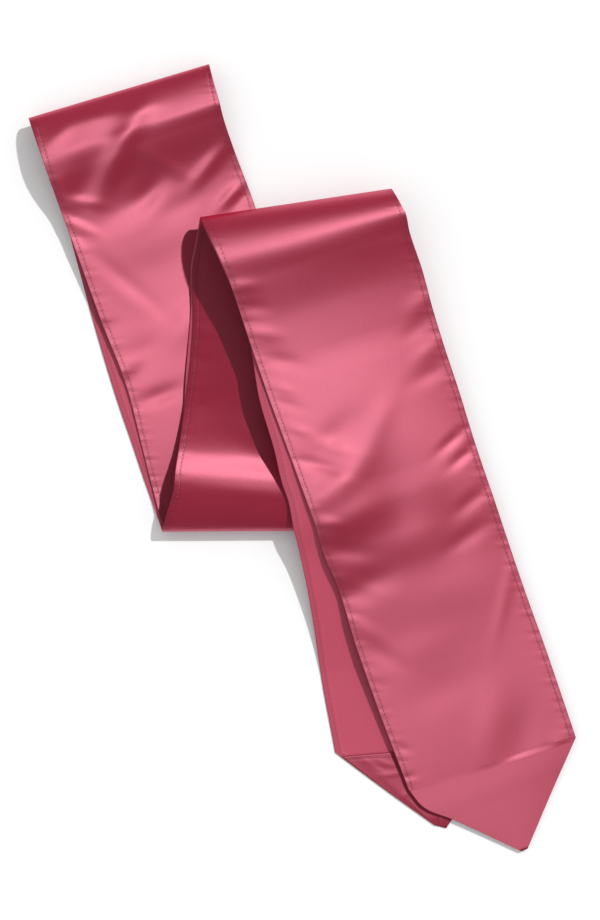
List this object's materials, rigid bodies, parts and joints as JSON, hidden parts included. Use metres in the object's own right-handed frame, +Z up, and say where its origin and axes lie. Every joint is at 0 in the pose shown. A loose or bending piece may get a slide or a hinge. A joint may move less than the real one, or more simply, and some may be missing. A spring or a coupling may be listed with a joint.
{
  "type": "satin sash",
  "caption": "Long satin sash with hemmed edges and pointed ends, folded at its middle and laid flat in loose zigzag legs.",
  "frame": {"origin": "centre of the bounding box, on the surface that the sash rests on", "axes": "+Z up from the surface, +Y from the pointed ends towards the folded middle, +X to the right seen from above"},
  "size_m": [0.4522, 0.6506, 0.0392],
  "materials": {
    "satin_face": "glossy dusty rose satin",
    "satin_reverse": "duller reverse of the same satin"
  },
  "bodies": {
    "root": {"upper_leg_under": "satin_reverse", "upper_leg": "satin_face", "middle_leg_under": "satin_reverse", "middle_leg": "satin_face", "back_end": "satin_reverse", "front_end": "satin_face", "back_point_facing": "satin_face"}
  },
  "joints": []
}
